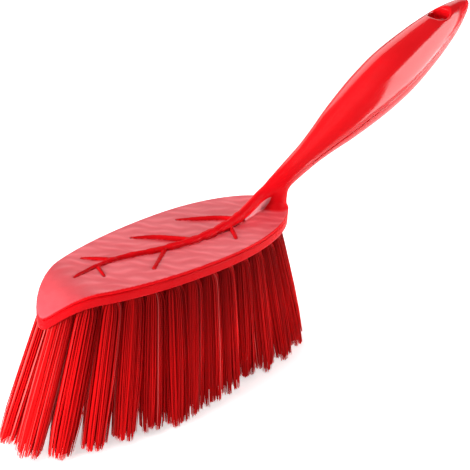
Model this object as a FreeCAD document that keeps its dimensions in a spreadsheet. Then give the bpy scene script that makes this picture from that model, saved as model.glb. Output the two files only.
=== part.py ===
import FreeCAD, Part
import Sketcher
import math
import os

# Hand brush for dusting: a leaf-shaped head on a straight, raised handle, with long flared tufts.
# Modelling frame: x runs from the leaf's tip (-x) to the handle (+x), y is sideways, +z is up and
# z = 0 is the underside of the tuft block.  The finished pieces are then moved by
# (shift_x, 0, tuft_len), which centres the brush in x and puts the tuft ends on z = 0.

V = FreeCAD.Vector
Z_AXIS = V(0, 0, 1)
doc = FreeCAD.newDocument("leaf_brush")

# ------------------------------------------------------------------------------ driving dimensions
DIMENSIONS = [
    ("shift_x", -48.26),         # moves the middle of the overall length to x = 0
    # leaf outline and side view
    ("leaf_mid_x", 6.15),        # where the leaf is widest
    ("leaf_tip_run", 85.8),      # from the widest place to the tip
    ("leaf_base_run", 60.25),    # from the widest place to the base end
    ("leaf_half_width", 26.4),
    ("rim_height", 6.7),         # block underside to the leaf's upper face
    ("droop_start_x", -58.0),    # the tip curls down from here
    ("droop_radius", 23.55),
    ("cover_thick", 1.5),
    ("groove_gap", 0.4),         # shadow groove between cover and block
    ("groove_depth", 1.1),
    # tufts, their roots and wire anchors
    ("tuft_len", 76.8),          # block underside to the trimmed tuft ends
    ("tuft_hole_dia", 4.4),
    ("tuft_hole_depth", 4.1),
    ("root_dia", 4.2),
    ("root_len", 3.9),
    ("anchor_width", 3.9),
    ("anchor_thick", 0.5),
    ("anchor_height", 1.6),
    ("tuft_neck_radius", 1.9),
    ("tuft_end_radius", 3.3),
    ("tuft_start", 0.8),         # the free part of a tuft starts this far below the block
    # pegs between cover and block
    ("peg_dia", 2.6),
    ("peg_socket_dia", 2.8),
    ("peg_len", 3.0),
    # handle; "along" is measured on its axis from the point (handle_x, 0, handle_z)
    ("handle_slope_deg", 28.4),
    ("handle_x", 69.55),
    ("handle_z", 21.3),
    ("grip_width", 30.2),        # widest place of the handle, sideways
    ("grip_height", 26.4),       # widest place of the handle, up and down
    ("wall", 2.4),
    ("void_start", 27.2),        # first and last station of the hollow, along
    ("void_end", 107.8),
    ("split_start", 12.0),       # the lower half begins here, along
    ("seam_gap", 0.1),
    ("half_length", 150.0),      # box that takes in the lower half of the handle
    ("half_span", 60.0),
    ("half_depth", 30.0),
    ("hang_hole_radius", 5.5),
    ("hang_hole_x", 174.0),
    ("hang_tool_z", 40.0),
    ("hang_tool_len", 80.0),
    ("post_radius", 3.6),
    ("post_pin_radius", 1.7),
    ("post_bore_radius", 1.8),
    ("post_pin_len", 4.0),
    ("gusset_thick", 2.6),
    # box cleared under the cover plate, at the base end
    ("under_x", 14.0),
    ("under_length", 62.0),
    ("under_span", 40.0),
    ("under_depth", 20.0),
]
sheet = doc.addObject("Spreadsheet::Sheet", "dims")
for i, (alias, value) in enumerate(DIMENSIONS, start=1):
    sheet.set(f"A{i}", alias)
    sheet.set(f"B{i}", repr(value))
    sheet.setAlias(f"B{i}", alias)
doc.recompute()


def dim(alias):
    return float(sheet.get(alias))


def bind(thing, prop, formula):
    # formula starts with an alias of the sheet
    thing.setExpression(prop, "<<dims>>." + formula)


MID_X = dim("leaf_mid_x")
TIP_RUN = dim("leaf_tip_run")
BASE_RUN = dim("leaf_base_run")
HALF_WIDTH = dim("leaf_half_width")
RIM = dim("rim_height")
BLOCK_TOP = RIM - dim("cover_thick")
DROOP_X = dim("droop_start_x")
DROOP_RADIUS = dim("droop_radius")
TUFT_LEN = dim("tuft_len")
SEAM_GAP = dim("seam_gap")

# ------------------------------------------------------------------------------------ handle frame
SLOPE = math.radians(dim("handle_slope_deg"))
AXIS = V(math.cos(SLOPE), 0, math.sin(SLOPE))
NORMAL = V(-math.sin(SLOPE), 0, math.cos(SLOPE))
HANDLE_START = V(dim("handle_x"), 0, dim("handle_z"))
HANDLE_ROTATION = FreeCAD.Rotation(AXIS, V(0, 1, 0), NORMAL, "ZXY")


def on_handle(along, rise=0.0, y=0.0):
    return HANDLE_START + AXIS * along + NORMAL * rise + V(0, y, 0)


# -------------------------------------------------------------------------------- document helpers
def placed(position, rotation=None):
    return FreeCAD.Placement(position, rotation or FreeCAD.Rotation())


def box(name, length, width, height, placement):
    # the three sizes are formulas
    result = doc.addObject("Part::Box", name)
    bind(result, "Length", length)
    bind(result, "Width", width)
    bind(result, "Height", height)
    result.Placement = placement
    return result


def cylinder(name, base, direction, radius, height):
    # radius and height are formulas
    result = doc.addObject("Part::Cylinder", name)
    bind(result, "Radius", radius)
    bind(result, "Height", height)
    result.Placement = placed(base, FreeCAD.Rotation(Z_AXIS, direction))
    return result


def level_circle(name, centre, radius):
    result = doc.addObject("Part::Circle", name)
    bind(result, "Radius", radius)
    result.Placement = placed(centre)
    return result


def fuse(name, parts):
    result = doc.addObject("Part::MultiFuse", name)
    result.Shapes = parts
    return result


def common(name, parts):
    result = doc.addObject("Part::MultiCommon", name)
    result.Shapes = parts
    return result


def cut(name, base, tool):
    result = doc.addObject("Part::Cut", name)
    result.Base = base
    result.Tool = tool
    return result


def compound(name, parts):
    result = doc.addObject("Part::Compound", name)
    result.Links = parts
    return result


def loft(name, sections):
    result = doc.addObject("Part::Loft", name)
    result.Sections = sections
    result.Solid = True
    result.Ruled = False
    result.Closed = False
    return result


# ------------------------------------------------------------------------------- elliptic sections
def section_axes(tangent):
    # sideways, normal and along for a section square to the tangent; a vertical one takes y, -x, z
    along = V(tangent)
    along.normalize()
    side = Z_AXIS.cross(along)
    if side.Length < 1e-6:
        side = V(0, 1, 0)
    side.normalize()
    return side, along.cross(side), along


def ellipse_section(name, centre, tangent, width, height):
    result = doc.addObject("Part::Ellipse", name)
    side, normal, along = section_axes(tangent)
    major, minor = width / 2.0, height / 2.0
    if major < minor:
        # the major radius has to be the larger one, so the section turns a quarter
        side, normal = normal, -side
        major, minor = minor, major
    result.MajorRadius = max(major, minor + 1e-4)
    result.MinorRadius = minor
    result.Placement = placed(centre, FreeCAD.Rotation(side, normal, along, "ZXY"))
    return result


def path_sections(name, rows, next_point=None):
    # rows: x, y, z, width, height; the path may go on to next_point
    points = [V(*row[:3]) for row in rows]
    path = points[:1] + points + [next_point or points[-1]]
    return [
        ellipse_section(f"{name}_s{k}", points[k], path[k + 2] - path[k], row[3], row[4])
        for k, row in enumerate(rows)
    ]


# ------------------------------------------------------------------------------------- leaf plates
def drop(x):
    # how far the curled tip has come down at x
    past = max(0.0, DROOP_X - x)
    return DROOP_RADIUS - math.sqrt(DROOP_RADIUS ** 2 - past ** 2)


SIDE_TIP_X = MID_X - TIP_RUN - 1.0      # the side view runs past both ends of the outline
SIDE_BASE_X = MID_X + BASE_RUN + 6.0
TRIM_FRAME = 130.0                      # half side of the square around the outline
TRIM_DEPTH = 120.0


def add_polygon(sketch, corners):
    count = len(corners)
    sketch.addGeometry([
        Part.LineSegment(V(*corners[k], 0), V(*corners[(k + 1) % count], 0))
        for k in range(count)], False)
    sketch.addConstraint([
        Sketcher.Constraint("Coincident", k, 2, (k + 1) % count, 1) for k in range(count)])


def block_geometry(sketch):
    sketch.addConstraint([Sketcher.Constraint("Block", k) for k in range(len(sketch.Geometry))])


def draw_side_view(sketch, top, bottom):
    # level from the base end to droop_start_x, then an arc down to the tip
    fall = drop(SIDE_TIP_X)
    arc_end = math.pi - math.acos((DROOP_X - SIDE_TIP_X) / DROOP_RADIUS)

    def tip_arc(height):
        circle = Part.Circle(V(DROOP_X, height - DROOP_RADIUS, 0), Z_AXIS, DROOP_RADIUS)
        return Part.ArcOfCircle(circle, math.pi / 2, arc_end)

    sketch.addGeometry([
        Part.LineSegment(V(SIDE_BASE_X, bottom, 0), V(SIDE_BASE_X, top, 0)),
        Part.LineSegment(V(SIDE_BASE_X, top, 0), V(DROOP_X, top, 0)),
        tip_arc(top),
        Part.LineSegment(V(SIDE_TIP_X, top - fall, 0), V(SIDE_TIP_X, bottom - fall, 0)),
        tip_arc(bottom),
        Part.LineSegment(V(DROOP_X, bottom, 0), V(SIDE_BASE_X, bottom, 0)),
    ], False)
    rule = Sketcher.Constraint
    sketch.addConstraint([
        rule("Coincident", 0, 2, 1, 1), rule("Coincident", 1, 2, 2, 1),
        rule("Coincident", 2, 2, 3, 1), rule("Coincident", 3, 2, 4, 2),
        rule("Coincident", 4, 1, 5, 1), rule("Coincident", 5, 2, 0, 1),
        rule("Vertical", 0), rule("Horizontal", 1), rule("Vertical", 3), rule("Horizontal", 5),
    ])
    for name, edge in (("tip_arc", 2), ("tip_arc_low", 4)):
        index = sketch.addConstraint(rule("Radius", edge, DROOP_RADIUS))
        sketch.renameConstraint(index, name)
        bind(sketch, "Constraints." + name, "droop_radius")
    # name, edge, point of the edge (3 = centre), direction from the origin, distance
    for name, edge, point, direction, distance in (
        ("arc_mid_x", 2, 3, "DistanceX", DROOP_X),
        ("arc_mid_z", 2, 3, "DistanceY", top - DROOP_RADIUS),
        ("low_mid_x", 4, 3, "DistanceX", DROOP_X),
        ("low_mid_z", 4, 3, "DistanceY", bottom - DROOP_RADIUS),
        ("base_x", 0, 1, "DistanceX", SIDE_BASE_X),
        ("tip_x", 3, 1, "DistanceX", SIDE_TIP_X),
    ):
        index = sketch.addConstraint(rule(direction, -1, 1, edge, point, distance))
        sketch.renameConstraint(index, name)
    # both arcs start straight above their centres
    sketch.addConstraint(rule("Vertical", 2, 1, 2, 3))
    sketch.addConstraint(rule("Vertical", 4, 1, 4, 3))


def draw_trim(sketch, inset):
    # all that lies outside the leaf outline, which is two half ellipses sharing their short axis
    far = TRIM_FRAME
    add_polygon(sketch, [(-far, -far), (far, -far), (far, far), (-far, far)])

    def half_ellipse(run, start):
        curve = Part.Ellipse(
            V(MID_X + run - inset, 0, 0), V(MID_X, HALF_WIDTH - inset, 0), V(MID_X, 0, 0))
        return Part.ArcOfEllipse(curve, start, start + math.pi)

    sketch.addGeometry(
        [half_ellipse(BASE_RUN, -math.pi / 2), half_ellipse(TIP_RUN, math.pi / 2)], False)
    block_geometry(sketch)


def sketch_on(body, role, name):
    plane = next(item for item in body.Origin.OriginFeatures if item.Role == role)
    sketch = body.newObject("Sketcher::SketchObject", name)
    sketch.AttachmentSupport = (plane, [""])
    sketch.MapMode = "FlatFace"
    return sketch


def leaf_plate(name, top, bottom, inset):
    # a slab of the leaf outline between two heights, curled at the tip
    body = doc.addObject("PartDesign::Body", name)
    side_view = sketch_on(body, "XZ_Plane", name + "_side")
    draw_side_view(side_view, top, bottom)
    pad = body.newObject("PartDesign::Pad", name + "_pad")
    pad.Profile = side_view
    pad.SideType = "Symmetric"
    bind(pad, "Length", "leaf_half_width * 2 + 8")
    doc.recompute()
    plan = sketch_on(body, "XY_Plane", name + "_plan")
    draw_trim(plan, inset)
    trim = body.newObject("PartDesign::Pocket", name + "_trim")
    trim.Profile = plan
    trim.SideType = "Symmetric"
    trim.Length = TRIM_DEPTH
    body.Tip = trim
    doc.recompute()
    return body


# --------------------------------------------------------------------------------- grip and hollow
# distance along the handle axis, share of the grip's full width and height
GRIP_STATIONS = [
    (6.0, 0.415), (16.2, 0.472), (27.2, 0.590), (38.2, 0.733), (49.6, 0.848), (61.0, 0.940),
    (72.2, 0.987), (80.0, 1.0), (88.0, 0.978), (98.0, 0.915), (107.8, 0.835), (117.0, 0.735),
    (125.0, 0.625), (132.0, 0.490), (138.0, 0.330), (142.5, 0.150),
]
# x, y, z, width, height of the stem that rises from the leaf to the grip
STEM = [
    (20.0, -6.3, 7.2, 4.4, 4.0), (28.0, -5.4, 8.2, 4.8, 4.4), (36.0, -4.2, 9.6, 5.3, 5.0),
    (44.0, -2.8, 11.5, 6.0, 5.8), (52.0, -1.5, 14.0, 7.0, 6.8), (59.5, -0.7, 16.8, 8.6, 8.2),
    (66.5, -0.2, 19.7, 10.8, 10.2),
]


def grip_sections(name, stations, inset=""):
    # inset: formula text taken off both radii
    side, normal, along = section_axes(AXIS)
    sections = []
    for k, (distance, share) in enumerate(stations):
        section = doc.addObject("Part::Ellipse", f"{name}_{k:02d}")
        bind(section, "MajorRadius", f"grip_width * {share:.4f} / 2{inset}")
        bind(section, "MinorRadius", f"grip_height * {share:.4f} / 2{inset}")
        section.Placement = placed(
            on_handle(distance), FreeCAD.Rotation(side, normal, along, "ZXY"))
        sections.append(section)
    return sections


def build_grip():
    stem = path_sections("stem", STEM, on_handle(GRIP_STATIONS[0][0]))
    return loft("grip_outer", stem + grip_sections("grip", GRIP_STATIONS))


def build_void():
    first, last = dim("void_start") - 1e-6, dim("void_end") + 1e-6
    stations = [row for row in GRIP_STATIONS if first <= row[0] <= last]
    return loft("grip_void", grip_sections("void", stations, " - <<dims>>.wall"))


def lower_half(name, gap):
    # the lower half of the handle, as a box drawn back by gap from the upper shell
    corner = on_handle(
        dim("split_start") + gap, -dim("half_depth") - gap, -dim("half_span") / 2)
    return box(name, "half_length", "half_span", "half_depth", placed(corner, HANDLE_ROTATION))


# posts inside the hollow: a pin on the lower shell goes into a bored post on the upper shell
POSTS_ALONG = (36.0, 96.0)


def handle_cylinders(name, rise, radius, height):
    return [cylinder(f"{name}_{k}", on_handle(along, rise), NORMAL, radius, height)
            for k, along in enumerate(POSTS_ALONG)]


def posts_in_grip(name, rise, grip):
    posts = handle_cylinders(name + "_post", rise, "post_radius", "half_depth")
    return common(f"posts_{name}_in", [compound("posts_" + name, posts), grip])


# -------------------------------------------------------------------------------------- leaf cover
# x, y, z, width, height of the leaf's main vein and its side twigs, half sunk in the cover
VEINS = {
    "vein": [
        (30.0, -4.5, 7.6, 4.4, 3.6), (21.0, -5.3, 7.1, 4.3, 3.4), (11.0, -5.8, 7.0, 4.2, 3.2),
        (1.0, -5.3, 6.9, 4.0, 2.9), (-9.0, -3.9, 6.9, 3.6, 2.6), (-18.0, -1.8, 6.85, 3.2, 2.4),
        (-27.0, 0.9, 6.8, 2.8, 2.2), (-37.0, 2.8, 6.8, 2.4, 1.9), (-48.0, 2.7, 6.75, 2.0, 1.6),
        (-58.0, 1.6, 6.7, 1.2, 1.0)],
    "twig_a": [
        (33.0, -2.4, 7.5, 2.6, 2.2), (28.5, 3.6, 7.0, 2.4, 2.0), (20.0, 9.2, 6.9, 2.0, 1.7),
        (10.2, 15.8, 6.75, 1.0, 0.9)],
    "twig_b": [
        (3.0, -4.4, 7.0, 2.4, 2.0), (-3.5, 2.2, 6.9, 2.2, 1.8), (-10.0, 8.6, 6.85, 1.8, 1.5),
        (-18.3, 14.6, 6.75, 1.0, 0.9)],
    "twig_c": [
        (-37.0, 2.6, 6.85, 1.8, 1.6), (-42.3, 7.6, 6.8, 1.5, 1.3), (-47.7, 12.8, 6.75, 0.9, 0.8)],
    "twig_d": [
        (26.9, -5.0, 7.0, 2.0, 1.8), (24.8, -10.0, 6.9, 1.7, 1.5), (22.3, -15.4, 6.75, 1.2, 1.0)],
    "twig_e": [
        (-11.7, -3.6, 6.9, 1.9, 1.7), (-18.5, -8.4, 6.85, 1.5, 1.3),
        (-26.2, -14.0, 6.75, 1.2, 1.0)],
    "twig_f": [
        (-46.4, 2.2, 6.8, 1.5, 1.3), (-47.4, -2.0, 6.8, 1.2, 1.0), (-48.5, -6.1, 6.75, 0.9, 0.8)],
}
# x, z, size in y, size in x of the level sections of the neck's solid root
NECK_ROOT = [
    (56.0, 5.6, 19.2, 21.2), (57.6, 7.4, 17.2, 17.2), (60.0, 9.8, 15.2, 12.6),
    (62.3, 13.2, 13.2, 10.0), (64.6, 18.2, 11.2, 9.2),
]
# upright plate under the stem: distance along the plate from its origin, height
GUSSET_OUTLINE = [
    (-2.0, 5.8), (20.0, 5.8), (20.0, 16.2), (12.0, 13.6), (4.0, 11.2), (-2.0, 8.6),
]
GUSSET_ORIGIN = V(40.0, -4.0, 0)
GUSSET_TURN_DEG = 11.5

# middle row of tufts on y = 0; the pegs stand midway between tufts, two pitches apart
ROW_START, ROW_PITCH, ROW_COUNT = -42.0, 12.0, 7
PEG_X = [ROW_START + ROW_PITCH * (2 * k + 0.5) for k in range(3)]


def build_neck_root():
    return loft("neck_root", [
        ellipse_section(f"neck_root_{k}", V(x, 0, z), Z_AXIS, size_y, size_x)
        for k, (x, z, size_y, size_x) in enumerate(NECK_ROOT)])


def build_gusset():
    outline = doc.addObject("Sketcher::SketchObject", "gusset_side")
    add_polygon(outline, GUSSET_OUTLINE)
    block_geometry(outline)
    upright = FreeCAD.Rotation(V(1, 0, 0), 90)
    outline.Placement = placed(
        GUSSET_ORIGIN, FreeCAD.Rotation(Z_AXIS, GUSSET_TURN_DEG) * upright)
    gusset = doc.addObject("Part::Extrusion", "neck_gusset")
    gusset.Base = outline
    gusset.DirMode = "Normal"
    gusset.Symmetric = True
    gusset.Solid = True
    bind(gusset, "LengthFwd", "gusset_thick")
    return gusset


def peg_cylinders(name, clearance, radius, height):
    # clearance: how far they reach below the pegs' ends
    z = BLOCK_TOP - dim("peg_len") - clearance
    return [cylinder(f"{name}_{k}", V(x, 0, z), Z_AXIS, radius, height)
            for k, x in enumerate(PEG_X)]


def build_cover(grip, void, hang_hole):
    plate = leaf_plate("cover_plate", RIM, BLOCK_TOP, 0.0)
    veins = [loft(name, path_sections(name, rows)) for name, rows in VEINS.items()]
    upper_block = cut("handle_upper_block", grip, lower_half("lower_half_region", 0.0))
    shell = cut("handle_upper_hollow", upper_block, void)
    posts = posts_in_grip("up", 0.0, grip)
    # the pegs run 0.5 up into the plate
    pegs = peg_cylinders("cover_peg", 0.0, "peg_dia / 2", "peg_len + 0.5")
    body = fuse("cover_body", [plate] + veins
                + [shell, build_neck_root(), build_gusset(), posts] + pegs)
    # the bores open 0.5 below the parting plane and end 0.5 above the nominal pin length
    bores = handle_cylinders("post_bore", -0.5, "post_bore_radius", "post_pin_len + 1")
    bored = cut("leaf_cover_bored", body, compound("cover_tools", [hang_hole] + bores))
    # clears what reaches below the plate at its base end
    corner = V(dim("under_x"), -dim("under_span") / 2, BLOCK_TOP - dim("under_depth"))
    under = box("under_cover_region", "under_length", "under_span", "under_depth",
                placed(corner))
    return cut("leaf_cover", bored, under)


# ---------------------------------------------------------------------------- handle bottom shell
def build_handle_bottom(grip, void, hang_hole):
    lower_block = common(
        "handle_lower_block", [grip, lower_half("lower_half_inside", SEAM_GAP)])
    shell = cut("handle_lower_hollow", lower_block, void)
    posts = posts_in_grip("low", -dim("half_depth") - SEAM_GAP, grip)
    # the pins start 3 below the parting plane, inside the posts, and end 0.2 under their length
    pins = handle_cylinders("post_pin", -3.0, "post_pin_radius", "post_pin_len + 2.8")
    return cut("handle_bottom_shell", fuse("handle_bottom_body", [shell, posts] + pins),
               hang_hole)


# ------------------------------------------------------------------------------------ tuft layout
# ring name, inset from the outline at the tip, at the base end and at the sides, tuft count
RINGS = [
    ("outer", 10.2, 10.4, 4.6, 28),
    ("middle", 20.0, 20.5, 13.6, 20),
]
RING_STEPS = 4000


def ring_points(tip_inset, base_inset, side_inset, count):
    # points at equal arc lengths round the inset outline, the first half a pitch from the base end
    tip_run, base_run = TIP_RUN - tip_inset, BASE_RUN - base_inset
    half_width = HALF_WIDTH - side_inset
    curve = []
    for i in range(RING_STEPS + 1):
        angle = 2 * math.pi * i / RING_STEPS
        run = base_run if math.cos(angle) > 0 else tip_run
        curve.append((MID_X + run * math.cos(angle), half_width * math.sin(angle)))
    lengths = [0.0]
    for start, end in zip(curve, curve[1:]):
        lengths.append(lengths[-1] + math.dist(start, end))
    points = []
    j = 0
    for k in range(count):
        wanted = (k + 0.5) / count * lengths[-1]
        while lengths[j + 1] < wanted:
            j += 1
        part = (wanted - lengths[j]) / (lengths[j + 1] - lengths[j])
        (x0, y0), (x1, y1) = curve[j], curve[j + 1]
        points.append((x0 + part * (x1 - x0), y0 + part * (y1 - y0)))
    return points


def smooth_step(ratio):
    ratio = min(1.0, max(0.0, ratio))
    return ratio * ratio * (3 - 2 * ratio)


def tuft_end(x, y):
    # where a tuft rooted at x, y ends: fanned out towards both ends and to the sides
    fan = 0.43 * x if x > 0 else -28.0 * (abs(x) / 69.0) ** 1.9
    spread = 0.40 - 0.30 * smooth_step((x + 20) / 45.0) + 0.35 * smooth_step((x - 30) / 25.0)
    return V(x + fan, y * (1 + spread), -TUFT_LEN)


def tuft_layout():
    # name, root point on the block's underside, end point, unit vector from end to root
    rows = [(name, ring_points(*ring)) for name, *ring in RINGS]
    rows.append(("centre", [(ROW_START + ROW_PITCH * k, 0.0) for k in range(ROW_COUNT)]))
    layout = []
    for row_name, points in rows:
        for k, (x, y) in enumerate(points, start=1):
            root = V(x, y, -drop(x))
            end = tuft_end(x, y)
            up = root - end
            up.normalize()
            layout.append((f"tuft_{row_name}_{k:02d}", root, end, up))
    return layout


# ------------------------------------------------------------------- tuft block, roots and anchors
LIP_OVERLAP = 0.8        # the block's inset lip reaches this far down into the band
HOLE_RUNOUT = 3.0        # the hole tools start this far outside the block
ANCHOR_TURN = math.radians(35)    # from the length of the head


def build_block(layout):
    band_top = BLOCK_TOP - dim("groove_gap")
    band = leaf_plate("block_band", band_top, 0.0, 0.0)
    lip = leaf_plate("block_lip", BLOCK_TOP, band_top - LIP_OVERLAP, dim("groove_depth"))
    holes = [cylinder("hole_" + name, root - up * HOLE_RUNOUT, up, "tuft_hole_dia / 2",
                      f"tuft_hole_depth + {HOLE_RUNOUT}")
             for name, root, end, up in layout]
    sockets = peg_cylinders("peg_socket", 0.3, "peg_socket_dia / 2", "peg_len + 1")
    return cut("tuft_block", fuse("block_body", [band, lip]),
               compound("block_tools", holes + sockets))


def anchor_boxes(prefix, layout, growth, depth):
    # flat boxes across the deep end of each root, starting depth below that end;
    # growth is added to their width, thickness and height
    width = dim("anchor_width") + growth[0]
    thick = dim("anchor_thick") + growth[1]
    corner = V(-width / 2, -thick / 2, dim("root_len") - depth)
    heading = V(math.cos(ANCHOR_TURN), math.sin(ANCHOR_TURN), 0)
    boxes = []
    for name, root, end, up in layout:
        side = heading - up * heading.dot(up)
        side.normalize()
        turn = FreeCAD.Rotation(side, up.cross(side), up, "ZXY")
        boxes.append(box(
            prefix + name, f"anchor_width + {growth[0]}", f"anchor_thick + {growth[1]}",
            f"anchor_height + {growth[2]}", placed(root + turn.multVec(corner), turn)))
    return boxes


def build_roots(layout):
    plugs = [cylinder("root_" + name, root, up, "root_dia / 2", "root_len")
             for name, root, end, up in layout]
    slots = anchor_boxes("slot_", layout, (1.0, 0.1, 1.0), 1.9)
    return cut("tuft_roots", compound("root_plugs", plugs), compound("root_slots", slots))


def build_anchors(layout):
    return compound("tuft_anchors", anchor_boxes("staple_", layout, (0.0, 0.0, 0.0), 1.8))


# ------------------------------------------------------------------------------------- free tufts
NECK_MARGIN = 0.8        # room beside the neck, towards the tip
LEAN_LIMIT = 0.2         # where the underside falls more than this across the neck,
LEAN_DROP = 0.35         # the neck starts this much lower


def build_tuft(name, root, end):
    # between two level circles, the lower one on the trim plane
    fall = drop(root.x - dim("tuft_neck_radius") - NECK_MARGIN) + root.z
    neck_z = root.z - max(0.0, fall) - dim("tuft_start")
    if fall > LEAN_LIMIT:
        neck_z -= LEAN_DROP
    part = (root.z - neck_z) / (root.z + TUFT_LEN)
    neck_centre = V(root.x + (end.x - root.x) * part, root.y + (end.y - root.y) * part, neck_z)
    neck = level_circle(name + "_neck", neck_centre, "tuft_neck_radius")
    trimmed_end = level_circle(name + "_end", end, "tuft_end_radius")
    return loft(name, [trimmed_end, neck])


# ------------------------------------------------------------------------------- build and export
grip_outer = build_grip()
grip_void = build_void()
hang_tool = cylinder("hang_hole_tool", V(dim("hang_hole_x"), 0, dim("hang_tool_z")), Z_AXIS,
                     "hang_hole_radius", "hang_tool_len")
tufts = tuft_layout()
nodes = [
    build_cover(grip_outer, grip_void, hang_tool),
    build_handle_bottom(grip_outer, grip_void, hang_tool),
    build_block(tufts),
    build_roots(tufts),
    build_anchors(tufts),
] + [build_tuft(name, root, end) for name, root, end, up in tufts]

doc.recompute()
shift = placed(V(dim("shift_x"), 0, TUFT_LEN))
for node in nodes:
    node.Placement = shift * node.Placement
doc.recompute()

for item in doc.Objects:
    state = [str(word) for word in item.State]
    if "Invalid" in state or "Error" in state:
        raise RuntimeError(f"{item.Name} did not recompute: {state}")

os.makedirs("parts", exist_ok=True)
for node in nodes:
    shape = node.Shape
    if shape.isNull() or not shape.isValid() or not shape.Solids:
        raise RuntimeError(node.Label + " has no valid solid")
    shape.exportStep(os.path.join("parts", node.Label + ".step"))
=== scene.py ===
"""A red leaf-shaped brush: a leaf cover with raised veins, a rising handle, a block and tufts.

Shapes are worked out in millimetres in the head's own frame: x runs from the leaf's tip to the
handle, y across the leaf, z = 0 is the underside of the tuft block. to_row() moves them to the
row frame in metres, where the tufts reach down to the floor at z = 0.
"""
import math
from collections import namedtuple
from itertools import product

import bpy
import numpy as np
from mathutils import Matrix, Vector


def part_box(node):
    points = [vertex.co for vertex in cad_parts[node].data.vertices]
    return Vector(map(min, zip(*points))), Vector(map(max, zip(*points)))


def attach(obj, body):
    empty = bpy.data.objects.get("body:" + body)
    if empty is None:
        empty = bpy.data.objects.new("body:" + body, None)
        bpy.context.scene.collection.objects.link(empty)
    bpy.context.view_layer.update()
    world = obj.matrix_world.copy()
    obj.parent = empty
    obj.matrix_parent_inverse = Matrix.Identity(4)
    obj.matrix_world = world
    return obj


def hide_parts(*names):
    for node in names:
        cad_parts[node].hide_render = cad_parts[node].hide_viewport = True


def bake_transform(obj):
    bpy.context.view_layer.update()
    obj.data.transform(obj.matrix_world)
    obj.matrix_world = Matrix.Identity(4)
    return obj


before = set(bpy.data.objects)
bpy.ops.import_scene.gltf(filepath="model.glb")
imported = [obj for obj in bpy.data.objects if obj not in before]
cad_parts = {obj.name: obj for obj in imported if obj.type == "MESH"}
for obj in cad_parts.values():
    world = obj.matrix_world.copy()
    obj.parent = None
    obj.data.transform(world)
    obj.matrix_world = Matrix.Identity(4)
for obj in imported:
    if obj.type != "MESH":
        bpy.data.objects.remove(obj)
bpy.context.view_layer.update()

rng = np.random.default_rng(20817)

# The leaf's outline: two half ellipses that meet at LEAF_X
LEAF_X = 6.15
TIP_LENGTH = 85.8
BASE_LENGTH = 60.25
HALF_WIDTH = 26.4

# Levels, and the downward curl of the leaf towards its tip
RIM_Z = 6.7
COVER_THICK = 1.5
BLOCK_GAP = 0.4
TUFT_DEPTH = 76.8
CURL_X = -58.0
CURL_RADIUS = 23.55

# The handle: a straight rising axis from HANDLE_START
HANDLE_SLOPE = math.radians(28.4)
HANDLE_AXIS = np.array([math.cos(HANDLE_SLOPE), 0.0, math.sin(HANDLE_SLOPE)])
HANDLE_NORMAL = np.array([-math.sin(HANDLE_SLOPE), 0.0, math.cos(HANDLE_SLOPE)])
HANDLE_START = np.array([69.55, 0.0, 21.3])
GRIP_WIDTH = 30.2
GRIP_HEIGHT = 26.4
HOLE_X = 174.0
HOLE_RADIUS = 5.5

# The joint between cover and bottom shell, as distances along and off the handle axis
SEAM_OFFSET = 0.04
COVER_SEAM_START = 12.0
LOWER_SEAM_START = 12.15
SEAM_ROUND = 0.25

_, block_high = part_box("tuft_block")
SHIFT = np.array([block_high.x * 1000.0 - (LEAF_X + BASE_LENGTH), 0.0, TUFT_DEPTH])


def to_row(points):
    return (np.asarray(points, float) + SHIFT) * 0.001


# ------------------------------------------------------------------------ shape helpers
# Every shape below is a function of an (n, 3) array of points that gives roughly the distance
# to its surface, negative inside.
def soft_min(a, b, radius):
    blend = np.maximum(radius - np.abs(a - b), 0.0) / radius
    return np.minimum(a, b) - blend * blend * radius * 0.25


def soft_max(a, b, radius):
    return -soft_min(-a, -b, radius)


def ease(t):
    t = np.clip(t, 0.0, 1.0)
    return t * t * (3 - 2 * t)


def ellipse_gap(a, b, half_a, half_b):
    a, b = a / half_a, b / half_b
    reach = np.sqrt(a * a + b * b) + 1e-9
    steepness = np.sqrt((a / half_a) ** 2 + (b / half_b) ** 2) / reach + 1e-9
    return (reach - 1.0) / steepness


def curl_drop(x):
    """How far the curl lowers the leaf at x, and the cosine of its slope there."""
    past = np.clip(CURL_X - x, 0.0, CURL_RADIUS - 0.6)
    height = np.sqrt(CURL_RADIUS * CURL_RADIUS - past * past)
    return CURL_RADIUS - height, height / CURL_RADIUS


def outline_gap(x, y, inset=0.0):
    length = np.where(x < LEAF_X, TIP_LENGTH - inset, BASE_LENGTH - inset)
    return ellipse_gap(x - LEAF_X, y, length, HALF_WIDTH - inset)


def smooth_curve(rows, count):
    """Smooth curve through the rows, with the first column as the parameter."""
    rows = np.asarray(rows, float)
    knots = rows[:, 0]
    wanted = np.linspace(knots[0], knots[-1], count)
    slopes = np.zeros_like(rows)
    slopes[1:-1] = (rows[2:] - rows[:-2]) / (knots[2:] - knots[:-2])[:, None]
    slopes[0] = (rows[1] - rows[0]) / (knots[1] - knots[0])
    slopes[-1] = (rows[-1] - rows[-2]) / (knots[-1] - knots[-2])
    k = np.clip(np.searchsorted(knots, wanted, side="right") - 1, 0, len(knots) - 2)
    span = (knots[k + 1] - knots[k])[:, None]
    u = ((wanted - knots[k])[:, None]) / span
    curve = ((2 * u ** 3 - 3 * u ** 2 + 1) * rows[k]
             + (u ** 3 - 2 * u ** 2 + u) * span * slopes[k]
             + (-2 * u ** 3 + 3 * u ** 2) * rows[k + 1]
             + (u ** 3 - u ** 2) * span * slopes[k + 1])
    curve[:, 0] = wanted
    return curve


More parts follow.
